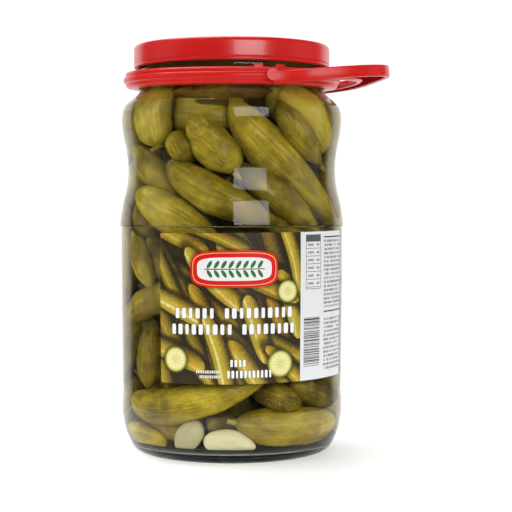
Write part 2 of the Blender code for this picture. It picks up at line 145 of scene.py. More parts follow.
# Pickles that show at the front and sides: three points (bearing, height), girth, rank and
# tone. Rank 0 lies on the glass, a higher one behind those it crosses. Tone runs from 0, pale
# yellow, to 1, dark olive.
FRONT_PICKLES = {
    "top_left": ((-58, 192), (-56, 177), (-54, 161), 10.6, 0, 0.20),
    "top_across": ((-64, 177), (-28, 175.5), (10, 173), 7.8, 1, 0.22),
    # top_dark's near-black tone is painted shade, for a pickle in the shadow under the ring
    "top_dark": ((-42, 184), (-6, 186), (28, 184), 7.5, 2, 0.88),
    "big_diagonal": ((-1, 181), (31, 153), (86, 118), 11.3, 0, 0.38),
    "dark_diagonal": ((26, 180), (44, 166), (69, 150), 7.5, 1, 0.60),
    "top_right": ((24, 189), (50, 178), (88, 158), 11.0, 2, 0.04),
    "round_end": ((-37, 167), (-33, 160), (-31, 152), 7.0, 2, 0.52),
    "stub": ((-24, 168), (-10, 159), (2, 146), 10.3, 0, 0.30),
    "stub_knob": ((-25, 173), (-20, 168.5), (-15, 164), 6.2, 0, 0.10),
    "long_diagonal": ((-44, 153), (-12, 135), (29, 121), 9.8, 0, 0.52),
    "right_diagonal": ((5, 152), (27, 135), (57, 115), 8.3, 1, 0.60),
    "left_small": ((-78, 163), (-62, 149), (-36, 131), 8.5, 1, 0.36),
    "left_lower": ((-73, 136), (-39, 125), (-5, 110), 9.5, 0, 0.44),
    "right_edge": ((80, 162), (84, 140), (86, 122), 8.0, 1, 0.66),
    "right_side_1": ((98, 200), (95, 176), (101, 146), 11.0, 2, 0.30),
    "right_side_2": ((98, 132), (94, 104), (98, 76), 11.0, 2, 0.40),
    "right_side_3": ((96, 84), (99, 56), (94, 28), 11.0, 2, 0.40),
    "right_side_4": ((92, 42), (97, 24), (110, 14), 9.0, 2, 0.30),
    "left_side_1": ((-88, 192), (-88, 178), (-90, 156), 11.0, 1, 0.20),
    "left_side_2": ((-88, 168), (-95, 148), (-104, 120), 11.0, 2, 0.35),
    "left_side_3": ((-96, 130), (-90, 104), (-94, 76), 11.0, 1, 0.30),
    "left_side_4": ((-100, 88), (-92, 62), (-97, 34), 11.0, 1, 0.40),
    "left_side_5": ((-94, 40), (-98, 24), (-112, 14), 9.0, 1, 0.30),
    "under_diagonal": ((20, 128), (34, 117), (44, 104), 7.5, 1, 0.62),
    "left_upright": ((-70, 114), (-60, 101), (-52, 88), 7.0, 0, 0.38),
    "left_slim": ((-54, 114), (-49, 100), (-42, 86), 6.5, 1, 0.50),
    "left_cross": ((-76, 70), (-56, 81), (-36, 87), 8.0, 0, 0.40),
    "left_stander": ((-50, 72), (-54, 54), (-57, 36), 8.0, 1, 0.74),
    "banana": ((-76, 30), (-29, 29.5), (33, 51), 9.4, 0, 0.34),
    "bottom_right": ((2, 21), (36, 18), (84, 17), 9.2, 0, 0.26),
    "low_left_tip": ((-84, 15), (-60, 12), (-42, 10), 6.5, 1, 0.32),
    "low_left_lobe": ((-66, 18), (-44, 17), (-26, 15), 6.0, 2, 0.26),
    "low_middle": ((-14, 21), (-4, 20), (5, 19), 5.5, 2, 1.0),
    "low_right_back": ((34, 41), (54, 34), (76, 26), 7.0, 2, 0.80),
    "low_right_grey": ((12, 39), (28, 33), (44, 29), 7.0, 2, 0.78),
    "behind_label_1": ((-30, 112), (-24, 80), (-30, 46), 9.5, 2, 0.60),
    "behind_label_2": ((-4, 108), (0, 76), (-6, 48), 10.0, 2, 0.50),
    "behind_label_3": ((20, 112), (26, 78), (18, 50), 9.5, 2, 0.50),
    "behind_label_4": ((52, 104), (46, 76), (52, 48), 9.5, 2, 0.55),
    "behind_label_5": ((74, 112), (72, 82), (78, 44), 9.5, 2, 0.60),
}

# Pickles that lie inside their neighbour, how far the side ones are pressed into the glass,
# and which ends keep a stalk. A bent stalk has its own lean and length.
JOINED = {"stub_knob"}
SIDE_PRESS = 3.0
STEM_AT_START = {"bottom_right", "left_upright"}
STEM_AT_END = {"top_left", "stub", "dark_diagonal", "left_lower", "low_right_back", "banana"}
BENT_STEMS = {"top_left": (-2.2, 8.0), "stub": (0.2, 5.0)}

# The back is the front turned upside down, without the slim pickles. A front pickle's bearing
# and height and its back one's add up to these, give or take a lift.
BACK_TURN_BEARING = 183.0
BACK_TURN_Z = 206.0
BACK_LEAST_GIRTH = 7.0
BACK_LIFT = 3.0

# How far each end is drawn out to a point, from 0, round, to 1: start and end
DRAWN_ENDS = {
    "top_left": (0.5, 0.0), "top_across": (0.3, 0.5), "big_diagonal": (0.6, 0.6),
    "dark_diagonal": (0.6, 0.9), "top_right": (0.5, 0.3), "round_end": (0.0, 0.0),
    "stub": (0.0, 0.35), "long_diagonal": (0.15, 0.9), "right_diagonal": (0.6, 0.7),
    "left_small": (0.7, 0.4), "left_lower": (0.2, 0.8), "banana": (0.05, 0.9),
    "bottom_right": (0.1, 0.3),
}
DEEP_PICKLES = 44
DEEP_LOW_Z = 24.0
DEEP_HEIGHT = 150.0
GOLDEN_SHARE = 0.618
CORE_R = 30.0

# Lumps of a pickle's skin: waves along it, waves round it, share of its girth
PICKLE_LUMPS = ((1, 1, 0.030), (2, 2, 0.022), (3, 1, 0.020), (4, 3, 0.014), (6, 2, 0.010), (9, 4, 0.007))
PICKLE_GRIDS = {"seen": (62, 42), "side": (40, 32), "deep": (26, 20)}

# Settling: points along a pickle, the deepest it may lie, and the share of the two girths at
# which it touches another
SETTLE_SAMPLES = 25
SETTLE_DEEPEST = 30.0
SETTLE_CONTACT = 0.74

# What would pass the glass is pressed flat this far inside it, over a soft stretch
PRESS_CLEARANCE = 0.7
PRESS_SOFTNESS = 1.2

# Painted shade on the pickles: none down to this radius, growing to full over this much more depth inwards
CLEAR_R = 52.0
CLOUDED_DEPTH = 20.0

# Garlic cloves: node, bearing, height, half length, half width, half depth, turn and tone
GARLIC = {
    "clove_by_the_glass": ("garlic_clove_1", -1.5, 11.4, 12.6, 6.9, 5.6, 7.0, 0.0),
    # The clove on its end takes a dark tone: painted shade, as it lies deeper in the heap's shadow
    "clove_on_its_end": ("garlic_clove_2", -25.6, 14.6, 9.2, 6.2, 5.4, 140.0, 0.7),
}

# Camera: a 98 mm lens on a 36 mm sensor, a little above the middle of the jar
CAMERA_PLACE = (0.0, -747.0, 131.0)
CAMERA_PITCH = 2.15
CAMERA_YAW = 0.986
CAMERA_LENS = 98.44

# Studio: radiance of the white sweep behind the object and of the rest of the room. The sweep's
# edge and top are soft, between two values of the direction's Y and of its Z.
ROOM_BRIGHT = 1.05
ROOM_DARK = 0.08
SWEEP_EDGE = (0.56, 0.72)
SWEEP_TOP = (0.30, 0.50)
FLOOR_R = 300.0

# Lights, in metres and watts: name, place, height they aim at, size, power, mirrored or not
LIGHTS = (
    ("front_softbox", (0.42, -1.15, 0.42), 0.15, (0.78, 0.5), 7.8, True),
    ("top_softbox", (-0.2, 0.35, 1.4), 0.1, (1.0, 1.0), 17.0, True),
    ("left_key", (-0.75, -0.85, 0.85), 0.1, (0.9, 0.9), 5.0, False),
    ("left_fill", (-1.05, 0.0, 0.4), 0.1, (0.9, 0.9), 6.5, False),
    ("right_fill", (1.05, 0.0, 0.4), 0.1, (0.9, 0.9), 6.2, False),
)


def catmull_rom(keys, per_span):
    """Points on a smooth curve through the keys, as an array."""
    last = len(keys) - 1
    points = []
    for i in range(last):
        p0, p1, p2, p3 = (np.array(keys[k]) for k in (max(i - 1, 0), i, i + 1, min(i + 2, last)))
        for t in np.arange(per_span) / per_span:
            points.append(0.5 * (2 * p1 + (p2 - p0) * t + (2 * p0 - 5 * p1 + 4 * p2 - p3) * t * t
                                 + (3 * p1 - p0 - 3 * p2 + p3) * t ** 3))
    points.append(np.array(keys[last]))
    return np.array(points)


def rounded(profile, radius, steps=4, closed=False):
    """A profile with each corner turned into a short curve that starts a radius from it."""
    corners = [np.array(p, float) for p in profile]
    count = len(corners)
    points = []
    for i, corner in enumerate(corners):
        if not closed and i in (0, count - 1):
            points.append(corner)
            continue
        before, after = corners[i - 1] - corner, corners[(i + 1) % count] - corner
        reach_back = min(radius, 0.45 * np.linalg.norm(before)) / np.linalg.norm(before)
        reach_on = min(radius, 0.45 * np.linalg.norm(after)) / np.linalg.norm(after)
        start, end = corner + before * reach_back, corner + after * reach_on
        for k in range(steps + 1):
            t = k / steps
            points.append((1 - t) ** 2 * start + 2 * t * (1 - t) * corner + t * t * end)
    return np.array(points)


OUTER_CURVE = catmull_rom(OUTER_KEYS, 6)
INNER_KEYS = (
    list(INNER_HEEL_KEYS)
    + [(r - WALL, z) for r, z in OUTER_KEYS if 30.0 < z < 183.0]
    + [(50.2, 183.4), (46.4, 187.6), (NECK_BORE_R, 191.2)]
)
INNER_CURVE = catmull_rom(INNER_KEYS, 6)


def outer_radius(z):
    """The jar's outer radius at a height."""
    return np.interp(z, OUTER_CURVE[:, 1], OUTER_CURVE[:, 0])


def inner_radius(z):
    """The jar's inner radius at a height, along straight spans between its keys."""
    keys = np.array(INNER_KEYS)
    return np.interp(z, keys[:, 1], keys[:, 0])


def around(bearing, rho, z):
    """Points in millimetres at bearings round the jar, distances from its axis and heights."""
    a = np.radians(bearing)
    return np.stack(np.broadcast_arrays(rho * np.sin(a), -rho * np.cos(a), z), axis=-1)


def rotation(degrees, axis, size=4):
    """A turn about one axis, as a matrix."""
    return Matrix.Rotation(math.radians(degrees), size, axis)


def shift(x, y, z):
    """A move in millimetres, as a matrix."""
    return Matrix.Translation(Vector((x, y, z)) * MM)


def place_object(name, data):
    """A new object in the scene for a mesh, a light or a camera."""
    obj = bpy.data.objects.new(name, data)
    bpy.context.scene.collection.objects.link(obj)
    return obj


def object_from(name, bm, mat):
    """A new object from an edited mesh in metres."""
    mesh = bpy.data.meshes.new(name)
    bm.to_mesh(mesh)
    bm.free()
    mesh.materials.append(mat)
    return place_object(name, mesh)


def finish_surface(obj, sharp=None):
    """Smooth shading, apart from edges sharper than an angle."""
    obj.data.shade_smooth()
    if sharp is not None:
        obj.data.set_sharp_from_angle(angle=math.radians(sharp))


def mesh_object(name, points, faces, mat, sharp=None, attributes=None):
    """An object from points in millimetres, its normals turned outwards, shaded smooth."""
    mesh = bpy.data.meshes.new(name)
    mesh.from_pydata((np.asarray(points) * MM).tolist(), [], faces)
    for key, values in (attributes or {}).items():
        kind, field = ("FLOAT_VECTOR", "vector") if values.ndim == 2 else ("FLOAT", "value")
        layer = mesh.attributes.new(key, kind, "POINT")
        layer.data.foreach_set(field, values.astype(np.float32).ravel())
    bm = bmesh.new()
    bm.from_mesh(mesh)
    bmesh.ops.recalc_face_normals(bm, faces=bm.faces)
    bm.to_mesh(mesh)
    bm.free()
    mesh.materials.append(mat)
    obj = place_object(name, mesh)
    finish_surface(obj, sharp)
    return obj


def grid_faces(rows, columns, wrap_columns=False, start=0):
    """Quads over a grid of points numbered row by row."""
    faces = []
    for i in range(rows - 1):
        low, high = start + i * columns, start + (i + 1) * columns
        for j in range(columns if wrap_columns else columns - 1):
            k = (j + 1) % columns
            faces.append((low + j, low + k, high + k, high + j))
    return faces


def lathe(name, profile, steps, mat, closed=False, sharp=None):
    """A solid of revolution from a profile (radius, height) in millimetres."""
    angles = np.linspace(0.0, 360.0, steps, endpoint=False)
    points, rows = [], []
    for r, z in profile:
        if r < 1e-6:
            rows.append([len(points)] * steps)
            points.append((0.0, 0.0, z))
        else:
            rows.append(list(range(len(points), len(points) + steps)))
            points.extend(around(angles, r, z))
    faces = []
    pairs = list(zip(rows, rows[1:]))
    if closed:
        pairs.append((rows[-1], rows[0]))
    for low, high in pairs:
        for j in range(steps):
            k = (j + 1) % steps
            corners = (low[j], low[k], high[k], high[j])
            faces.append(tuple(dict.fromkeys(corners)))
    return mesh_object(name, points, faces, mat, sharp)


def apply_booleans(obj, tools, operation):
    """Join or cut an object by its tools, and remove them."""
    for tool in tools:
        mod = obj.modifiers.new(operation.title(), "BOOLEAN")
        mod.operation = operation
        mod.object = tool
    depsgraph = bpy.context.evaluated_depsgraph_get()
    mesh = bpy.data.meshes.new_from_object(obj.evaluated_get(depsgraph))
    obj.modifiers.clear()
    obj.data = mesh
    for tool in tools:
        bpy.data.objects.remove(tool)


class Field:
    """A number worked out by shader nodes, written as ordinary arithmetic."""

    def __init__(self, tree, socket):
        self.tree, self.socket = tree, socket

    def math(self, operation, *others, clamp=False):
        inputs = dict(enumerate((self, *others)))
        return Nodes(self.tree).field("Math", 0, inputs, operation=operation, use_clamp=clamp)

    def __rsub__(self, other):
        return self * -1.0 + other

    def clip(self):
        return self.math("ADD", 0.0, clamp=True)

    def between(self, low, high):
        return (self > low) * (self < high)

    def rises(self, low, high):
        """From 0 at low to 1 at high, with soft ends."""
        inputs = {"Value": self, "From Min": low, "From Max": high}
        return Nodes(self.tree).field("MapRange", "Result", inputs, interpolation_type="SMOOTHSTEP")


def field_method(operation):
    """A method of Field that does one operation of the Math node."""
    return lambda self, *others: self.math(operation, *others)


for method, operation in (
    ("__add__", "ADD"), ("__sub__", "SUBTRACT"), ("__mul__", "MULTIPLY"), ("__rmul__", "MULTIPLY"),
    ("__truediv__", "DIVIDE"), ("__pow__", "POWER"), ("__abs__", "ABSOLUTE"), ("most", "MAXIMUM"),
    ("__gt__", "GREATER_THAN"), ("__lt__", "LESS_THAN"), ("floor", "FLOOR"), ("sine", "SINE"),
):
    setattr(Field, method, field_method(operation))


class Nodes:
    """A node tree under construction, with short ways to add to it."""

    def __init__(self, tree):
        self.tree = tree

    def link(self, value, slot):
        if isinstance(value, Field):
            value = value.socket
        if isinstance(value, bpy.types.NodeSocket):
            self.tree.links.new(value, slot)
        elif isinstance(value, tuple) and len(value) == 3 and slot.type == "RGBA":
            slot.default_value = (*value, 1.0)
        else:
            slot.default_value = value

    def node(self, kind, inputs=None, **settings):
        made = self.tree.nodes.new("ShaderNode" + kind)
        for key, value in settings.items():
            setattr(made, key, value)
        for key, value in (inputs or {}).items():
            self.link(value, made.inputs[key])
        return made

    def field(self, kind, output, inputs=None, **settings):
        """One number that a new node gives."""
        return Field(self.tree, self.node(kind, inputs, **settings).outputs[output])

    def axes(self, vector):
        return [Field(self.tree, part) for part in self.node("SeparateXYZ", {0: vector}).outputs]

    def finish(self, shader, output="Surface"):
        self.link(shader.outputs[0], self.tree.nodes["Material Output"].inputs[output])


class Look(Nodes):
    """A material under construction, round its Principled shader."""

    def __init__(self, name, **sockets):
        self.mat = bpy.data.materials.new(name)
        self.mat.use_nodes = True
        super().__init__(self.mat.node_tree)
        self.shader = self.tree.nodes["Principled BSDF"]
        self.set(**sockets)

    def set(self, **sockets):
        for key, value in sockets.items():
            self.link(value, self.shader.inputs[key.replace("_", " ")])
        return self.mat

    def number(self, attribute):
        return self.field("Attribute", "Fac", attribute_name=attribute)

    def vector(self, attribute):
        return self.node("Attribute", attribute_name=attribute).outputs["Vector"]

    def place(self):
        return self.node("TexCoord").outputs["Object"]

    def at(self, x, y, z=0.0):
        return self.node("CombineXYZ", {0: x, 1: y, 2: z}).outputs[0]

    def noise(self, vector, scale, detail=2.0, roughness=0.5, distortion=0.0):
        return self.field("TexNoise", "Fac", {
            "Vector": vector, "Scale": scale, "Detail": detail, "Roughness": roughness,
            "Distortion": distortion,
        })

    def stretched(self, vector, scale):
        return self.node("Mapping", {"Vector": vector, "Scale": scale}).outputs["Vector"]

    def ramp(self, factor, *stops):
        made = self.node("ValToRGB", {"Fac": factor})
        points = made.color_ramp.elements
        while len(points) < len(stops):
            points.new(0.5)
        for point, (position, colour) in zip(points, stops):
            point.position = position
            point.color = (*colour, 1.0)
        return made.outputs["Color"]

    def mix(self, factor, first, second, blend="MIX"):
        inputs = {0: factor, 6: first, 7: second}
        return self.node("Mix", inputs, data_type="RGBA", blend_type=blend).outputs[2]

    def bump(self, height, distance, strength=1.0):
        return self.node("Bump", {"Height": height, "Distance": distance, "Strength": strength}).outputs[0]

    def sunk(self):
        """Painted shade: from 0 at the glass to 1 deep in the heap, where pickles are painted dark."""
        x, y, _ = self.axes(self.place())
        depth = ((x * x + y * y) ** 0.5) * -1.0 + CLEAR_R * MM
        return (depth / (CLOUDED_DEPTH * MM)).clip()


def let_light_in(look, colour):
    """Lamps and diffuse light pass a clear surface straight, as they would bent by real glass."""
    passing = look.field("LightPath", "Is Shadow Ray").most(look.field("LightPath", "Is Diffuse Ray"))
    clear = look.node("BsdfTransparent", {"Color": colour})
    look.finish(look.node("MixShader", {0: passing, 1: look.shader.outputs[0], 2: clear.outputs[0]}))


def glass_look(name, dulled, wavy=False):
    """Clear soda glass with a trace of green. What it mirrors head-on is dulled to a share."""
    look = Look(name, Roughness=0.0, IOR=1.5, Transmission_Weight=1.0)
    look.set(Base_Color=(0.975, 0.99, 0.98), Specular_Tint=(dulled, dulled, dulled))
    let_light_in(look, (0.97, 0.98, 0.97))
    if wavy:
        waves = look.noise(look.stretched(look.place(), (1.0, 1.0, 0.6)), 60.0, 2.0, 0.6)
        look.set(Normal=look.bump(waves, 0.0006, 0.3))
    return look.mat


def brine_look():
    """Salt water with dill and garlic in it: clear, slightly yellow-green with depth."""
    look = Look("brine", Roughness=0.0, IOR=1.34, Transmission_Weight=1.0)
    let_light_in(look, (1.0, 1.0, 1.0))
    look.finish(look.node("VolumeAbsorption", {"Color": (0.84, 0.80, 0.30), "Density": 16.0}), "Volume")
    return look.set(Base_Color=(0.99, 0.99, 0.97), Specular_Tint=(0.06, 0.06, 0.06))


def pickle_look():
    """Cured cucumber skin: each its own olive, with lengthwise streaks, mottling and specks."""
    look = Look("pickle_skin", Roughness=0.4, IOR=1.24, Coat_Weight=0.6, Coat_Roughness=0.12, Coat_IOR=1.25)
    grain, place = look.vector("grain"), look.place()
    streaks = look.noise(look.stretched(grain, (1.0, 1.0, 0.36)), 0.62, 5.0, 0.66, 0.25)
    fine = look.noise(grain, 1.7, 3.0, 0.65, 0.3)
    mottle = look.noise(place, 110.0, 5.0, 0.7, 0.5)
    clouds = look.noise(place, 36.0, 3.0, 0.55, 0.3)
    shade = look.number("tone") + (streaks - 0.5) * 0.9 + (mottle - 0.5) * 1.2
    shade = shade + (clouds - 0.5) * 1.5 + (fine - 0.5) * 0.8
    colour = look.ramp(
        shade.clip(), (0.0, (0.53, 0.405, 0.040)), (0.22, (0.395, 0.290, 0.018)),
        (0.45, (0.270, 0.192, 0.009)), (0.70, (0.162, 0.111, 0.005)), (1.0, (0.058, 0.037, 0.002)),
    )
    cells = look.field("TexVoronoi", "Distance", {"Vector": place, "Scale": 420.0})
    speck = (cells < 0.22) * mottle.rises(0.48, 0.62)
    colour = look.mix(speck * 0.4, colour, (0.46, 0.38, 0.12))
    colour = look.mix(look.number("tip").rises(0.75, 1.0) * 0.45, colour, (0.11, 0.095, 0.02))
    # Painted shade: pickles deeper behind the glass are painted darker
    colour = look.mix(look.sunk() * 0.75, colour, (0.050, 0.045, 0.020))
    height = streaks * 0.6 + fine * 0.35 + mottle * 0.6
    return look.set(Base_Color=colour, Normal=look.bump(height, 0.0008, 0.7))


def core_look():
    """Painted shade for the heap's middle: dim olive blotches standing for pickles in shadow, nearly black
    by the jar's floor.
    """
    look = Look("heap_core", Roughness=0.7, Specular_IOR_Level=0.1)
    blotches = look.noise(look.place(), 60.0, 3.0)
    colour = look.ramp(blotches, (0.3, (0.03, 0.024, 0.006)), (0.7, (0.09, 0.07, 0.014)))
    height = look.axes(look.place())[2]
    # Painted shade: nearly black below 18 mm, by the jar's floor
    return look.set(Base_Color=look.mix(height < 0.018, colour, (0.012, 0.011, 0.006)))


def garlic_look():
    """Peeled garlic: cream, faintly ribbed, a little brown at its root."""
    look = Look("garlic_flesh", Roughness=0.35, Specular_IOR_Level=0.3)
    ribs = look.noise(look.vector("grain"), 0.5, 3.0)
    clouds = look.noise(look.place(), 120.0, 2.0)
    shade = (ribs * 0.6 + clouds * 0.4).clip()
    colour = look.ramp(shade, (0.3, (0.76, 0.71, 0.48)), (0.7, (0.62, 0.56, 0.35)))
    # Tone darkens the cream towards olive brown; on the clove on its end that is painted shade
    colour = look.mix(look.number("tone"), colour, (0.31, 0.27, 0.13))
    colour = look.mix(look.number("tip").rises(0.9, 1.0) * 0.7, colour, (0.42, 0.26, 0.10))
    look.set(Subsurface_Weight=0.15, Subsurface_Scale=0.003)
    return look.set(Base_Color=colour, Normal=look.bump(ribs, 0.0004, 0.5))


def lacquer_look():
    """Gloss red lacquer on steel, with the faint orange peel of a sprayed coat."""
    look = Look("red_lacquer", Roughness=0.3, Specular_IOR_Level=0.4, Coat_Weight=0.4, Coat_Roughness=0.15)
    peel = look.noise(look.place(), 900.0, 2.0)
    waves = look.noise(look.place(), 60.0, 1.0)
    colour = look.ramp(waves, (0.3, (0.58, 0.006, 0.005)), (0.7, (0.60, 0.007, 0.006)))
    return look.set(Base_Color=colour, Normal=look.bump(peel + waves * 2.0, 0.00005, 0.5))


def plastic_look():
    """Moulded red plastic, half gloss, with slight flow marks."""
    look = Look("red_plastic", IOR=1.35, Specular_IOR_Level=0.5)
    flow = look.noise(look.stretched(look.place(), (1.0, 1.0, 4.0)), 45.0, 3.0)
    grain = look.noise(look.place(), 1500.0, 2.0)
    colour = look.ramp(flow, (0.3, (0.60, 0.011, 0.008)), (0.7, (0.64, 0.013, 0.010)))
    look.set(Base_Color=colour, Roughness=flow * 0.1 + 0.2, Subsurface_Weight=0.05, Subsurface_Scale=0.001)
    return look.set(Normal=look.bump(grain + flow * 3.0, 0.00004, 0.6))


def recess_look():
    """The recess under the grip: matte, and painted a darker red as the shade under the grip."""
    look = Look("red_plastic_recess_shade", Roughness=0.8, Specular_IOR_Level=0.0)
    grain = look.noise(look.place(), 1500.0)
    return look.set(Base_Color=look.ramp(grain, (0.3, (0.20, 0.003, 0.003)), (0.7, (0.24, 0.004, 0.004))))


def glass_jar(mat, wet, foot):
    """The jar as blown: waisted wall, push-up under the floor, neck bead, rounded rim."""
    bead = ((NECK_R, 1.6), (NECK_R + 0.25, 1.0), (NECK_BEAD_R, 0.0))
    neck = [(r, NECK_BEAD_Z - z) for r, z in bead] + [(r, NECK_BEAD_Z + z) for r, z in bead[-2::-1]]
    rim = [
        (NECK_R, RIM_Z - 1.6), (NECK_R - 0.5, RIM_Z - 0.4), (NECK_R - 1.6, RIM_Z),
        (NECK_BORE_R + 1.2, RIM_Z), (NECK_BORE_R + 0.3, RIM_Z - 0.5), (NECK_BORE_R, RIM_Z - 1.6),
        (NECK_BORE_R, BRINE_LEVEL_Z),
    ]
    inner = [tuple(p) for p in INNER_CURVE[::-1]] + [(38.0, FLOOR_Z), (20.0, FLOOR_Z), (0.0, FLOOR_Z)]
    sole = [
        (0.0, PUSH_UP), (20.0, PUSH_UP - 0.2), (34.0, PUSH_UP - 0.8), (40.0, 1.0), (43.2, 0.25), (44.6, 0.0),
    ]
    profile = sole + [tuple(p) for p in OUTER_CURVE] + neck + rim + inner
    jar = lathe("jar_glass", profile, JAR_STEPS, mat)
    jar.data.materials.append(wet)
    jar.data.materials.append(foot)
    for face in jar.data.polygons:
        x, y, z = face.center / MM
        outside_floor = z < FLOOR_Z - 0.1
        if not outside_floor and math.hypot(x, y) < inner_radius(z) + 0.4 and z < BRINE_LEVEL_Z:
            face.material_index = 1
        # Outer faces low on the foot take the foot glass, whose dulled mirroring is painted shade
        elif z < FOOT_TOP_Z:
            face.material_index = 2
    return jar


def brine(mat):
    """The brine up to the neck, reaching just into the wall so that no air gap shows."""
    side = [(r + BRINE_BITE, z) for r, z in INNER_CURVE[3:]]
    profile = [(0.0, FLOOR_Z - BRINE_BITE), (44.0, FLOOR_Z - BRINE_BITE), (47.2, 5.2)]
    profile += side + [(NECK_BORE_R + BRINE_BITE, BRINE_LEVEL_Z), (0.0, BRINE_LEVEL_Z)]
    return lathe("brine", profile, JAR_STEPS, mat)


def unit(vectors):
    """The same directions at length one."""
    return vectors / np.maximum(np.linalg.norm(vectors, axis=-1, keepdims=True), 1e-9)


def centreline(row, depth, t):
    """Points along a pickle, the girth and a depth away from the wall."""
    (b0, z0), (b1, z1), (b2, z2), girth = row[:4]
    w0, w1, w2 = (1 - t) * (1 - 2 * t), 4 * t * (1 - t), t * (2 * t - 1)
    bearing, z = w0 * b0 + w1 * b1 + w2 * b2, w0 * z0 + w1 * z1 + w2 * z2
    rho = np.maximum(inner_radius(z) - girth - TOUCH_GAP - depth, 0.5)
    return around(bearing, rho, z)


def taper(t, drawn):
    """A pickle's radius along its length, as a share of its girth."""
    share = np.where(t < 0.5, *drawn)
    return np.maximum(1 - np.abs(2 * t - 1) ** (2.7 - 0.9 * share), 0.0) ** (0.5 + 0.35 * share)


def drawn_ends(name):
    """The set shape of a pickle's ends, or one of its own."""
    draw = random.Random(name)
    return DRAWN_ENDS.get(name, (draw.uniform(0.1, 0.8), draw.uniform(0.1, 0.8)))


def all_pickles():
    """The front pickles, the stouter ones again upside down at the back, and some deep inside."""
    rows = dict(FRONT_PICKLES)
    draw = random.Random(7)
    for name, (a, b, c, girth, rank, tone) in FRONT_PICKLES.items():
        if girth < BACK_LEAST_GIRTH or "_side_" in name:
            continue
        lean = draw.uniform(-5.0, 5.0)
        lift = draw.uniform(-BACK_LIFT, BACK_LIFT)
        turned = []
        for number, (bearing, z) in enumerate((a, b, c)):
            turned.append((BACK_TURN_BEARING - bearing + lean * (number - 1), BACK_TURN_Z - z + lift))
        rows["back_" + name] = (*turned, girth, rank, tone)
    deep = random.Random(11)
    for number in range(DEEP_PICKLES):
        bearing = 360.0 * (number * GOLDEN_SHARE % 1.0)
        z = DEEP_LOW_Z + DEEP_HEIGHT * number / DEEP_PICKLES
        lean = deep.uniform(-40.0, 40.0)
        rise = deep.uniform(12.0, 30.0)
        ends = ((bearing - lean, z - rise), (bearing, z), (bearing + lean, z + rise))
        # Deep pickles draw random tones from a darker range: painted shade for the inside of the heap
        rows[f"deep_{number}"] = (*ends, deep.uniform(7.5, 9.5), 5, deep.uniform(0.45, 0.9))
    return rows


def settle(rows):
    """How far inwards each pickle lies along its length, so that it clears those of lower rank."""
    t = np.linspace(0.0, 1.0, SETTLE_SAMPLES)
    smooth = np.hanning(9) / np.hanning(9).sum()
    placed, sizes = [], []
    for _, bearing, z, half_length, half_width, half_depth, _, _ in GARLIC.values():
        placed.append(around(bearing, inner_radius(z) - half_depth - 1.0, z)[None, :])
        sizes.append(np.array([0.5 * (half_length + half_width)]))
    depths = {}
    for name in sorted(rows, key=lambda key: rows[key][4]):
        row = rows[name]
        if name in JOINED:
            depths[name] = np.zeros(SETTLE_SAMPLES)
            continue
        nearest = -SIDE_PRESS if "_side_" in name else 0.0
        radius = np.maximum(row[3] * taper(t, drawn_ends(name)), 1.5)
        others, reach = np.concatenate(placed), np.concatenate(sizes)
        depth = np.zeros(SETTLE_SAMPLES)
        for k in range(SETTLE_SAMPLES):
            for trial in np.arange(nearest, SETTLE_DEEPEST, 0.5):
                depth[k] = trial
                gap = np.linalg.norm(others - centreline(row, trial, t[k]), axis=1)
                if np.all(gap > SETTLE_CONTACT * (radius[k] + reach)):
                    break
        wide = np.array([depth[max(k - 3, 0):k + 4].max() for k in range(SETTLE_SAMPLES)])
        depths[name] = np.convolve(np.pad(wide, 4, mode="edge"), smooth, mode="valid")
        placed.append(centreline(row, depths[name], t))
        sizes.append(radius)
    return depths


def press_inside(points):
    """Flatten what would pass the glass, and the floor, softly against it."""
    rho = np.hypot(points[..., 0], points[..., 1])
    z = np.clip(points[..., 2], FLOOR_Z + TOUCH_GAP, BRINE_LEVEL_Z - 2.0)
    most = np.minimum.reduce([inner_radius(z + step) for step in (0.0, 2.5, -2.5)]) - PRESS_CLEARANCE
    share = np.clip(0.5 + 0.5 * (most - rho) / PRESS_SOFTNESS, 0.0, 1.0)
    pressed = most * (1 - share) + rho * share - PRESS_SOFTNESS * share * (1 - share)
    scale = (pressed / np.maximum(rho, 1e-6))[..., None]
    return np.concatenate([points[..., :2] * scale, z[..., None]], axis=-1)


class Heap:
    """Joined tubes with what their material reads: grain, tone and closeness to a tip."""

    def __init__(self):
        self.points, self.faces = [], []
        self.reads = {"grain": [], "tone": [], "tip": []}

    def add_tube(self, rings, poles, grain, tone, tip):
        rows, columns, _ = rings.shape
        first = sum(len(p) for p in self.points)
        self.points.append(np.concatenate([rings.reshape(-1, 3), poles]))
        self.faces += grid_faces(rows, columns, wrap_columns=True, start=first)
        start, last_row = first + rows * columns, first + (rows - 1) * columns
        for j in range(columns):
            k = (j + 1) % columns
            self.faces += [(start, first + k, first + j), (start + 1, last_row + j, last_row + k)]
        tone, tip = (np.repeat(np.broadcast_to(values, rows), columns) for values in (tone, tip))
        for key, values in (("grain", grain.reshape(-1, 3)), ("tone", tone), ("tip", tip)):
            self.reads[key].append(np.concatenate([values, values[:1], values[-1:]]))

    def build(self, name, mat):
        reads = {key: np.concatenate(values) for key, values in self.reads.items()}
        return mesh_object(name, np.concatenate(self.points), self.faces, mat, attributes=reads)


def frames(centres):
    """Tangents along a line of points, with two directions across them."""
    ahead = unit(np.gradient(centres, axis=0))
    side = unit(np.cross(ahead, unit(centres * (1.0, 1.0, 0.0))))
    return ahead, side, np.cross(side, ahead)


def turns(sides):
    """Equal steps round a circle."""
    return 2 * math.pi * np.arange(sides) / sides


def circle(sides, first, second):
    """Directions round a circle that two others span, for one such pair or a row of them."""
    angle = turns(sides)[:, None]
    return np.cos(angle) * first[..., None, :] + np.sin(angle) * second[..., None, :]


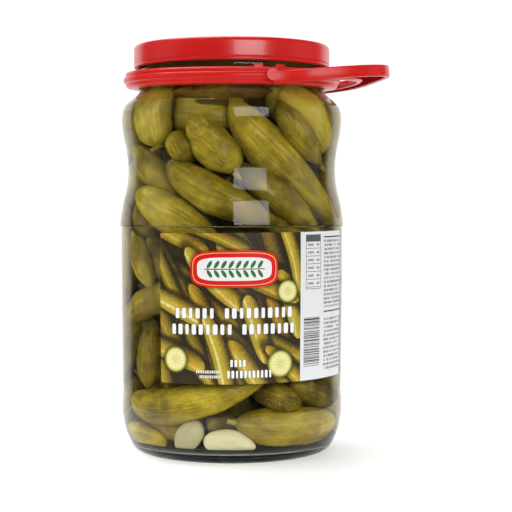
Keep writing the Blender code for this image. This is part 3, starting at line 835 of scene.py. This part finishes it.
def add_pickle(heap, row, drawn, depth, number, rings, sides, stems, bend):
    """One pickle: tapered, a little lumpy and ribbed, flattened where it meets the glass."""
    girth, tone = row[3], row[5]
    draw = np.random.RandomState(100 + number)
    u = (np.arange(rings) + 0.35) / (rings - 0.3)
    t = 0.5 - 0.5 * np.cos(math.pi * u)
    inward = np.interp(t, np.linspace(0.0, 1.0, SETTLE_SAMPLES), depth)
    centres = centreline(row, inward, t)
    ahead, side, up = frames(centres)
    length = np.concatenate([[0.0], np.cumsum(np.linalg.norm(np.diff(centres, axis=0), axis=1))])
    angle = turns(sides)[None, :]
    phase = draw.uniform(0.0, 2 * math.pi, 8)
    lump = 0.018 * np.cos(3 * angle + phase[6]) + 0.008 * np.cos(9 * angle + phase[7])
    for k, (waves, around_it, size) in enumerate(PICKLE_LUMPS):
        along_it = size * np.sin(math.pi * waves * t[:, None] * 2 + phase[k])
        lump = lump + along_it * np.cos(around_it * angle + phase[(k + 3) % 8])
    body = (girth * taper(t, drawn))[:, None] * (1.0 + lump)
    surface = press_inside(centres[:, None, :] + body[:, :, None] * circle(sides, up, side))
    offset = draw.uniform(-500.0, 500.0, 3)
    grain = np.stack(np.broadcast_arrays(
        girth * np.cos(angle), girth * np.sin(angle), 0.13 * length[:, None],
    ), axis=-1) + offset
    poles = press_inside(np.array([centres[0] - 0.25 * ahead[0], centres[-1] + 0.25 * ahead[-1]]))
    drift = draw.uniform(-0.14, 0.14) * (2 * t - 1)
    heap.add_tube(surface, poles, grain, tone + drift, np.abs(2 * t - 1) ** 3)
    for at, root, direction in ((0, centres[0], -ahead[0]), (1, centres[-1], ahead[-1])):
        if at in stems:
            east = unit(np.array([-root[1], root[0], 0.0]))
            add_stem(heap, root, unit(direction + bend[0] * east), tone * 0.4, offset, bend[1])


def add_stem(heap, root, direction, tone, offset, length):
    """The cut stalk left on a pickle's end: a short tapering peg with a thicker tip."""
    across = unit(np.cross(direction, np.cross(direction, root)))
    steps = np.array([-0.5, 0.15, 0.5, 0.85, 1.0])
    radii = np.array([2.3, 1.6, 1.25, 1.45, 1.1])
    centres = root + direction * (steps * length)[:, None]
    rings = centres[:, None, :] + radii[:, None, None] * circle(12, np.cross(across, direction), across)
    grain = rings + offset
    rings = press_inside(rings)
    poles = np.array([rings[0].mean(axis=0), rings[-1].mean(axis=0)])
    heap.add_tube(rings, poles, grain, tone, np.zeros(len(steps)))


def pickles(mat):
    """All pickles, in three pieces. The numbers drawn follow the order of the rows."""
    rows = all_pickles()
    depths = settle(rows)
    heaps = {group: Heap() for group in ("front", "back", "deep")}
    draw = random.Random(5)
    for number, (name, row) in enumerate(rows.items()):
        stems = {0} if name in STEM_AT_START else {1} if name in STEM_AT_END else set()
        if not stems and draw.random() < 0.35 and name.startswith("back_"):
            stems = {draw.randrange(2)}
        group = name.split("_")[0]
        rings, sides = PICKLE_GRIDS["deep" if group == "deep" else "side" if "_side_" in name else "seen"]
        bend = BENT_STEMS.get(name, (0.0, draw.uniform(2.5, 4.5)))
        heap = heaps.get(group, heaps["front"])
        add_pickle(heap, row, drawn_ends(name), depths[name], number, rings, sides, stems, bend)
    return [heap.build("pickles_" + group, mat) for group, heap in heaps.items()]


def heap_core(mat):
    """The middle of the heap, a plain column behind the deepest pickles, painted dark as shade."""
    top = BRINE_LEVEL_Z - 1.5
    foot = [(0.0, 5.4), (43.5, 5.4), (46.5, 6.8), (46.8, 9.0), (43.0, 12.0), (CORE_R + 3.0, 15.0)]
    profile = foot + [(CORE_R, 24.0), (CORE_R, 172.0), (36.0, 190.0), (37.5, top), (0.0, top)]
    return lathe("pickles_core", rounded(profile, 1.5), 64, mat)


def garlic_clove(name, row, mat):
    """A peeled clove: plump and flat-sided, drawn to a point at its +X end."""
    _, bearing, z, half_length, half_width, half_depth, turn, tone = row
    rings, sides = 40, 36
    x = -np.cos(math.pi * (np.arange(rings) + 0.5) / rings)[:, None]
    size = np.sqrt(np.maximum(1 - x * x, 0.0)) * (1.0 - 0.42 * np.maximum(x, 0.0) ** 2)
    angle = turns(sides)[None, :]
    facet = 1.0 + 0.035 * np.cos(3 * angle + 0.6) + 0.02 * np.sin(5 * angle) * x
    y = size * np.cos(angle) * half_depth * facet
    h = size * np.sin(angle) * half_width * facet
    local = np.stack(np.broadcast_arrays(x * half_length, y, h), axis=-1)
    centre = around(bearing, inner_radius(z) - half_depth - 1.0, z)
    matrix = np.array(rotation(bearing, "Z", 3) @ rotation(turn, "Y", 3))
    ends = np.array([(-half_length, 0.0, 0.0), (half_length * 1.03, 0.0, 0.0)])
    surface, poles = (press_inside(p @ matrix.T + centre) for p in (local, ends))
    heap = Heap()
    grain = local * (0.12, 1.0, 1.0) + 40.0 * bearing
    heap.add_tube(surface, poles, grain, tone, np.clip(-x[:, 0], 0.0, 1.0) ** 2)
    return heap.build(name, mat)


def lid(mat):
    """Pressed steel cap: sunken top with a raised edge, straight skirt, rolled lower edge."""
    inner, ceiling = LID_R - LID_WALL, RIM_Z + 0.5
    plate = LID_TOP_Z - 0.7
    top = [
        (0.0, plate), (30.0, plate), (31.0, LID_TOP_Z - 0.45), (32.0, plate), (45.6, plate),
        (47.0, LID_TOP_Z - 0.1), (49.4, LID_TOP_Z), (51.1, LID_TOP_Z - 0.4), (LID_R, LID_TOP_Z - 1.8),
    ]
    skirt = [(0.0, 2.3), (-0.35, 1.8), (0.0, 1.1), (-0.2, 0.3), (-1.2, 0.0), (-2.3, 0.4), (-2.3, 1.5)]
    edge = [(LID_R + r, LID_BOTTOM_Z + z) for r, z in skirt]
    inside = [(inner, LID_BOTTOM_Z + 2.4), (inner, ceiling - 1.0), (inner - 1.0, ceiling), (0.0, ceiling)]
    return lathe("lid_cap", rounded(top + edge + inside, 0.9), 160, mat, sharp=50.0)


def ring_section():
    """The ring's ribbed section about its own centre height: radius and height."""
    return [
        (RING_BORE_R + 0.4, 2.6), (53.6, 4.2), (54.9, 4.2), (55.8, 3.6), (56.4, 2.7), (55.9, 2.0),
        (56.9, 1.3), (RING_R, 0.2), (57.2, -1.2), (56.1, -1.9), (56.0, -3.2), (55.0, -4.2),
        (RING_BORE_R + 1.0, -4.6), (RING_BORE_R, -4.2), (RING_BORE_R, 2.0),
    ]


def handle_point(u, v, z):
    """World millimetres of a point u along the handle's direction and v across it."""
    a = math.radians(HANDLE_BEARING)
    return (u * math.cos(a) - v * math.sin(a), u * math.sin(a) + v * math.cos(a), z)


def rounded_box(name, size, mat):
    """A box with softened edges, centred on the origin."""
    bm = bmesh.new()
    bmesh.ops.create_cube(bm, size=1.0)
    bm.transform(Matrix.Diagonal((*(s * MM for s in size), 1.0)))
    bmesh.ops.bevel(bm, geom=bm.edges[:], offset=0.35 * MM, segments=3, affect="EDGES", profile=0.5)
    return object_from(name, bm, mat)


def rod(name, mat, radius, start, end, sides=32):
    """A cylinder in millimetres between two points."""
    a, b = Vector(start) * MM, Vector(end) * MM
    bm = bmesh.new()
    bmesh.ops.create_cone(
        bm, cap_ends=True, segments=sides, radius1=radius * MM, radius2=radius * MM, depth=(b - a).length,
    )
    turn = (b - a).to_track_quat("Z", "Y").to_matrix().to_4x4()
    bm.transform(Matrix.Translation((a + b) / 2) @ turn)
    return object_from(name, bm, mat)


def settle_transform(obj, matrix):
    """Bake a placement into a mesh, so that the object stays at the origin."""
    obj.data.transform(matrix)
    obj.data.update()


def carry_ring(mat):
    """The ribbed ring round the neck, dipping at the front, with stop lugs and hinge holes."""
    ring = lathe("neck_ring", rounded(ring_section(), 0.5, closed=True), 160, mat, closed=True)
    tilt = shift(0.0, 0.0, RING_Z) @ rotation(RING_TILT, "X")
    settle_transform(ring, tilt)
    lugs = []
    for bearing in RING_LUG_BEARINGS:
        for turned_by in (bearing, 180.0 + 2 * HANDLE_BEARING - bearing):
            lug = rounded_box("lug", RING_LUG_SIZE, mat)
            settle_transform(lug, tilt @ rotation(turned_by, "Z") @ shift(0.0, -RING_LUG_R, RING_LUG_Z))
            lugs.append(lug)
    holes = []
    for side in (-1, 1):
        ends = [handle_point(HINGE_OFFSET, side * v, HINGE_Z) for v in (PIN_HOLE_V, RING_R + 4.0)]
        holes.append(rod("hinge_hole", mat, PIN_HOLE_R, *ends))
    apply_booleans(ring, lugs, "UNION")
    apply_booleans(ring, holes, "DIFFERENCE")
    finish_surface(ring, 40.0)
    return ring


def handle_outline(angle, inset):
    """The hoop's outline in plan: a squarish oval that narrows to the hinges."""
    c, s = math.cos(angle), math.sin(angle)
    reach, half = HANDLE_REACH - inset, HANDLE_HALF_WIDTH - inset
    r = (abs(c / reach) ** HANDLE_SQUARENESS
         + abs(s / half) ** HANDLE_SQUARENESS) ** (-1 / HANDLE_SQUARENESS)
    u, v = r * c, r * s
    closeness = max(0.0, 1.0 - (u - HINGE_OFFSET) / ARM_WIDENS_BY)
    blend = closeness * closeness * (3 - 2 * closeness)
    narrow = (HANDLE_HALF_WIDTH - ARM_OUTER_V) * min(1.0, blend)
    return u, v - math.copysign(narrow, v)


def swept(name, sections, mat):
    """A closed solid through a row of cross-sections, capped at both ends."""
    rows, columns = len(sections), len(sections[0])
    faces = grid_faces(rows, columns, wrap_columns=True)
    faces.append(tuple(range(columns)))
    faces.append(tuple(range((rows - 1) * columns, rows * columns)))
    return mesh_object(name, np.array(sections).reshape(-1, 3), faces, mat)


def carry_handle(mat, recess):
    """Hoop with a flat crescent grip inside its tip, and a boss and pin at each arm's end."""
    middle, half = -HANDLE_DROP, HANDLE_HEIGHT / 2
    low = middle - half
    slope = math.radians(HANDLE_SLOPE)
    last = math.atan2(HANDLE_HALF_WIDTH, HINGE_OFFSET)
    band_corners = rounded([(0.0, -half), (0.0, half), (1.0, half), (1.0, -half)], 0.5, closed=True)
    web_corners = rounded([
        (0.0, GRIP_RECESS), (0.8, GRIP_RECESS), (0.85, 0.0), (1.0, 0.0),
        (1.0, WEB_THICKNESS), (0.0, WEB_THICKNESS),
    ], 0.3, closed=True)

    def section(corners, start, end, base):
        """A cross-section between two places in plan, its heights taken from a base."""
        points = []
        for share, z in corners:
            u, v = (a + share * (b - a) for a, b in zip(start, end))
            points.append(((u - HINGE_OFFSET) / math.cos(slope), v, base + z))
        return points

    band, web = [], []
    for i in range(HANDLE_STATIONS + 1):
        angle = last * (2 * i / HANDLE_STATIONS - 1)
        outer, inner = handle_outline(angle, 0.0), handle_outline(angle, HANDLE_WALL)
        band.append(section(band_corners, outer, inner, middle))
        centre = [0.5 * (a + b) for a, b in zip(outer, inner)]
        bearing = math.atan2(centre[1], centre[0])
        grip = (GRIP_INNER_R * math.cos(bearing), GRIP_INNER_R * math.sin(bearing))
        if math.hypot(*centre) > GRIP_INNER_R + 1.2:
            web.append(section(web_corners, centre, grip, low))
    handle = swept("handle_hoop", band, mat)
    tools = [swept("grip", web, mat)]
    for side in (-1, 1):
        for name, radius, start, end, sides in (
            ("boss", BOSS_R, ARM_OUTER_V - HANDLE_WALL, ARM_OUTER_V - 0.05, 40),
            ("pin", PIN_R, PIN_TIP_V, ARM_OUTER_V - 1.0, 32),
        ):
            tools.append(rod(name, mat, radius, (0.0, side * start, 0.0), (0.0, side * end, 0.0), sides))
    apply_booleans(handle, tools, "UNION")
    # Downward faces inside the grip's recess take the matte recess look, painted darker as shade
    handle.data.materials.append(recess)
    for face in handle.data.polygons:
        if face.normal.z < -0.5 and face.center.z / MM - low > GRIP_RECESS - 0.2:
            face.material_index = 1
    turn = rotation(HANDLE_BEARING, "Z") @ rotation(-HANDLE_SLOPE, "Y")
    settle_transform(handle, shift(*handle_point(HINGE_OFFSET, 0.0, HINGE_Z)) @ turn)
    finish_surface(handle, 40.0)
    return handle


def printed_pickles(u, v):
    """How light the picture is: rounded pickle shapes lie over one another on a dark ground."""
    draw = random.Random(PRINT_SEED)
    light = PRINT_GROUND
    for number in range(PRINTED_PICKLES):
        du, dv = (
            place - ((size + 2 * PRINT_MARGIN) * (number * spread % 1.0) - PRINT_MARGIN)
            for place, size, spread in zip((u, v), (PANEL_WIDTH, LABEL_HEIGHT), PRINT_SPREAD)
        )
        turn = math.radians(draw.uniform(104.0, 162.0))
        half_length, half_width = draw.uniform(17.0, 25.0), draw.uniform(3.9, 5.4)
        depth = 1.0 - number / PRINTED_PICKLES
        along = du * math.cos(turn) + dv * math.sin(turn)
        across = dv * math.cos(turn) - du * math.sin(turn) - along * along * draw.uniform(-0.006, 0.006)
        across = across / half_width
        reach = (abs(along) / half_length) ** 3.0 + across * across
        body = reach.rises(0.90, 1.0)
        shadow = reach.rises(0.9, 2.2) * 0.75 + 0.25
        round_off = (across - 0.3) * (across - 0.3) * -0.44 + (draw.uniform(0.62, 0.84) - 0.3 * depth)
        round_off = round_off + abs(across - 0.4).rises(0.24, 0.0) * (0.22 * (1.0 - depth))
        light = light * shadow * body + round_off * (1.0 - body)
    return light


def printed_slices(look, u, v, colour):
    """Round cut slices laid on the picture: dark rim, pale flesh, a ring of seeds."""
    for x, y, radius in PRINT_SLICES:
        du, dv = u - x, v - y
        far = ((du * du + dv * dv) ** 0.5) / radius
        turn = dv.math("ARCTAN2", du)
        seeds = (turn * 13.0).sine().rises(0.0, 0.5) * (abs(far - 0.5) < 0.15)
        flesh = look.ramp(far.clip(), (0.0, (0.60, 0.58, 0.20)), (0.72, (0.70, 0.66, 0.28)),
                          (0.86, (0.42, 0.42, 0.08)), (0.93, (0.10, 0.11, 0.015)))
        flesh = look.mix(seeds * 0.6, flesh, (0.80, 0.76, 0.48))
        colour = look.mix(far.rises(1.0, 1.35) * -0.6 + 0.6, colour, (0.02, 0.016, 0.004))
        colour = look.mix(far < 1.0, colour, flesh)
    return colour


def white_dashes(u, v, left, right, low, high, pitch):
    """How far a point is from a row of upright white dashes, 1 at their edges."""
    step = (u - left) / pitch
    cell = step.floor()
    x = (step - cell - 0.5) * pitch
    wide = (cell * 2.3).sine() * 0.05 * pitch + 0.29 * pitch
    y = (v - 0.5 * (low + high)) / (0.5 * (high - low))
    outside = u.between(left, right) * -9.0 + 9.0
    return (abs(x) / wide) ** 3.0 + abs(y) ** 8.0 + outside


def plaque(look, u, v, colour):
    """A rounded red plaque with a gold line, a white field and a green sprig."""
    x, y, half_width, half_height = PLAQUE
    du, dv = u - x, v - y

    def ring(shrink):
        a, b = half_width - shrink, half_height - shrink
        return (abs(du) / a) ** 4.0 + (abs(dv) / b) ** 4.0

    colour = look.mix(ring(-1.2).rises(0.75, 1.1) * -0.5 + 0.5, colour, (0.02, 0.01, 0.0))
    colour = look.mix(ring(0.0) < 1.0, colour, (0.62, 0.010, 0.012))
    colour = look.mix((ring(1.0) < 1.0) * (ring(1.35) > 1.0), colour, (0.80, 0.50, 0.12))
    colour = look.mix(ring(3.4) < 1.0, colour, (0.80, 0.76, 0.74))
    stem = (abs(dv) < 0.26) * (abs(du) < 15.0)
    step = (du / 3.6).floor()
    leaf_u = du - (step + 0.5) * 3.6 - (abs(dv) - 1.8) * 0.5
    leaf = ((abs(leaf_u) / 1.0) ** 2.0 + ((abs(dv) - 2.3) / 1.9) ** 2.0 < 1.0) * (abs(du) < 14.4)
    return look.mix(stem.most(leaf), colour, (0.012, 0.16, 0.045))


def plain_panel(look, u, v):
    """The white panel: a ruled table, a block of stripes and lines too small to read."""
    x = u - PANEL_WIDTH
    line = (v / LINE_PITCH).floor()
    in_line = (v / LINE_PITCH - line) < 0.58
    words = look.noise(look.at(x * 0.9, line * 7.3), 1.0, 0.0) > 0.40
    strokes = look.noise(look.at(x * 5.0, v * 3.0), 1.0, 1.0) > 0.44
    wording = in_line * words * strokes
    column = x.between(17.1, 37.2) * v.between(36.0, 70.6).most(v.between(4.0, 31.0))
    rules = x.between(17.1, 38.4) * v.between(71.6, 72.3).most(v.between(33.6, 34.3))
    table = x.between(3.4, 14.4) * v.between(45.9, 73.4)
    inside = x.between(3.7, 14.1) * v.between(46.2, 73.1)
    row = v / 3.9 - (v / 3.9).floor()
    lines = table * (1.0 - inside).most(row < 0.07).most(v > 69.8)
    entries = inside * row.between(0.36, 0.66) * x.between(4.6, 8.8).most(x.between(11.0, 13.2))
    stripe = look.noise(look.at(0.0, v * 1.9), 1.0, 1.0, 0.7) > 0.5
    stripes = stripe * x.between(2.2, 13.8) * v.between(6.8, 31.9)
    ink = (wording * column * 0.85).most(rules).most(lines * 0.9).most(stripes).most(entries * strokes * 0.8)
    return look.mix(ink, (0.67, 0.68, 0.69), (0.025, 0.025, 0.028))


def label_look():
    """Printed paper under satin varnish: a picture of pickles, a plaque and a plain panel."""
    look = Look("label_print", Roughness=0.4, Specular_IOR_Level=0.2)
    u, v, _ = look.axes(look.vector("sheet"))
    streaks = look.noise(look.at(u * 0.9 + v * 0.5, v * 0.35 - u * 0.2), 1.4, 3.0, 0.6)
    light = (printed_pickles(u, v) + (streaks - 0.5) * 0.55).clip()
    picture = look.ramp(
        light, (0.0, (0.022, 0.016, 0.008)), (0.22, (0.065, 0.046, 0.010)), (0.45, (0.200, 0.140, 0.014)),
        (0.66, (0.400, 0.285, 0.024)), (0.84, (0.540, 0.420, 0.060)), (1.0, (0.740, 0.680, 0.330)),
    )
    tints = look.noise(look.at(u * 0.06, v * 0.06, 3.0), 1.0, 1.0)
    picture = look.mix(tints.rises(0.5, 0.7) * 0.4, picture, (1.0, 0.62, 0.35), "MULTIPLY")
    picture = look.mix(tints.rises(0.5, 0.3) * 0.5, picture, (0.80, 0.92, 0.9), "MULTIPLY")
    picture = printed_slices(look, u, v, picture)
    for row in WHITE_ROWS:
        near = white_dashes(u, v, *row)
        picture = look.mix(near.rises(1.0, 3.0) * -0.55 + 0.55, picture, (0.015, 0.012, 0.006))
        picture = look.mix(near < 1.0, picture, (0.80, 0.80, 0.79))
    picture = plaque(look, u, v, picture)
    print_side = look.mix(u > PANEL_WIDTH, picture, plain_panel(look, u, v))
    colour = look.mix(look.number("outside"), (0.72, 0.72, 0.70), print_side)
    fibres = look.noise(look.place(), 900.0, 2.0)
    return look.set(Base_Color=colour, Normal=look.bump(fibres, 0.00003, 0.4))


def label(mat):
    """The wrap label, close on the glass, with its own small tilt."""
    low, high = LABEL_BEARINGS
    rows, columns = 25, 181
    bearings = np.linspace(low, high, columns)[None, :]
    arc = np.radians(bearings - low) * outer_radius(LABEL_ARC_Z)
    middle = np.radians(0.5 * (high - low)) * outer_radius(LABEL_ARC_Z)
    heights = np.linspace(0.0, LABEL_HEIGHT, rows)[:, None]
    z = LABEL_LOW_Z + heights + LABEL_TILT * (arc - middle)
    skins = [around(bearings, outer_radius(z) + LABEL_GAP + lift, z) for lift in (0.0, LABEL_THICKNESS)]
    points = np.concatenate([skin.reshape(-1, 3) for skin in skins])
    count = rows * columns
    faces = grid_faces(rows, columns) + grid_faces(rows, columns, start=count)
    index = np.arange(count).reshape(rows, columns)
    edge = np.concatenate([index[0], index[1:, -1], index[-1, -2::-1], index[-2:0:-1, 0]]).tolist()
    for a, b in zip(edge, edge[1:] + edge[:1]):
        faces.append((a, b, count + b, count + a))
    sheet = np.stack(np.broadcast_arrays(arc, heights, 0.0 * arc), axis=-1).reshape(-1, 3)
    reads = {"sheet": np.concatenate([sheet, sheet]), "outside": np.repeat([0.0, 1.0], count)}
    return mesh_object("label_wrap", points, faces, mat, 40.0, reads)


def floor(mat):
    """A round white table top. It ends short of where the glass would mirror it towards -Y."""
    bm = bmesh.new()
    bmesh.ops.create_circle(bm, cap_ends=True, segments=96, radius=FLOOR_R * MM)
    return object_from("studio_floor", bm, mat)


def area_light(name, place, target, size, power):
    """A soft rectangular light in metres, facing a point."""
    data = bpy.data.lights.new(name, "AREA")
    data.shape = "RECTANGLE"
    data.size, data.size_y = size
    data.energy = power
    obj = place_object(name, data)
    obj.location = place
    obj.rotation_euler = (Vector(target) - Vector(place)).to_track_quat("-Z", "Y").to_euler()
    return obj


def studio():
    """Pale floor, white sweep behind, soft lights at the front and above, and dimmer fills."""
    look = Look("pale_floor", Roughness=0.6, Specular_IOR_Level=0.2)
    look.set(Emission_Color=(1.0, 1.0, 1.0), Emission_Strength=0.22)
    floor(look.set(Base_Color=(0.96, 0.96, 0.96)))
    for name, place, target_z, size, power, mirrored in LIGHTS:
        area_light(name, place, (0.0, 0.0, target_z), size, power).visible_glossy = mirrored
    white_room()


def white_room():
    """A white sweep behind the object, and a dim studio above, beside and in front of it."""
    world = bpy.data.worlds.new("white_room")
    bpy.context.scene.world = world
    world.use_nodes = True
    nodes = Nodes(world.node_tree)
    _, y, z = nodes.axes(nodes.node("TexCoord").outputs["Generated"])
    sweep = y.rises(*SWEEP_EDGE) * (1.0 - z.rises(*SWEEP_TOP))
    strength = sweep * (ROOM_BRIGHT - ROOM_DARK) + ROOM_DARK
    strength = strength.most(nodes.field("LightPath", "Is Camera Ray"))
    background = nodes.tree.nodes["Background"].inputs
    nodes.link((1.0, 1.0, 1.0), background["Color"])
    nodes.link(strength, background["Strength"])


def camera():
    """The camera that took the photo, as it was fitted."""
    data = bpy.data.cameras.new("photo_camera")
    data.lens = CAMERA_LENS
    data.sensor_width = 36.0
    obj = place_object("photo_camera", data)
    obj.location = Vector(CAMERA_PLACE) * MM
    obj.rotation_euler = (math.radians(90.0 - CAMERA_PITCH), 0.0, math.radians(-CAMERA_YAW))
    bpy.context.scene.camera = obj


def dress(obj, body, slot, *nodes):
    """A piece rides on its body and stands for its nodes, which are hidden. The slot is not used."""
    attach(obj, body)
    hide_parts(*nodes)


def main():
    scene = bpy.context.scene
    dry = glass_look("jar_glass", 0.55, wavy=True)
    # The foot's glass mirrors still less: painted shade, for the contact shadow on the floor it would mirror
    wet, foot = glass_look("jar_glass_wet", 0.06), glass_look("jar_glass_foot_shade", 0.2)
    dress(glass_jar(dry, wet, foot), "jar", "glass", "glass_jar")
    filling = brine(brine_look())
    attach(filling, "jar")
    skin = pickle_look()
    for piece in pickles(skin) + [heap_core(core_look())]:
        dress(piece, "jar", "pickle_green", "pickle_heap")
    cream = garlic_look()
    for name, row in GARLIC.items():
        dress(garlic_clove(name, row, cream), "jar", "garlic_cream", row[0])
    dress(lid(lacquer_look()), "jar", "lid_red", "lid")
    plastic = plastic_look()
    dress(carry_ring(plastic), "jar", "handle_red", "carry_ring")
    dress(carry_handle(plastic, recess_look()), "handle", "handle_red", "carry_handle")
    dress(label(label_look()), "jar", "label_print", "label")
    studio()
    camera()
    scene.view_settings.view_transform = "Standard"
    scene.cycles.use_denoising = True
    scene.cycles.max_bounces = 24
    scene.cycles.transmission_bounces = 24
    scene.cycles.transparent_max_bounces = 8


main()
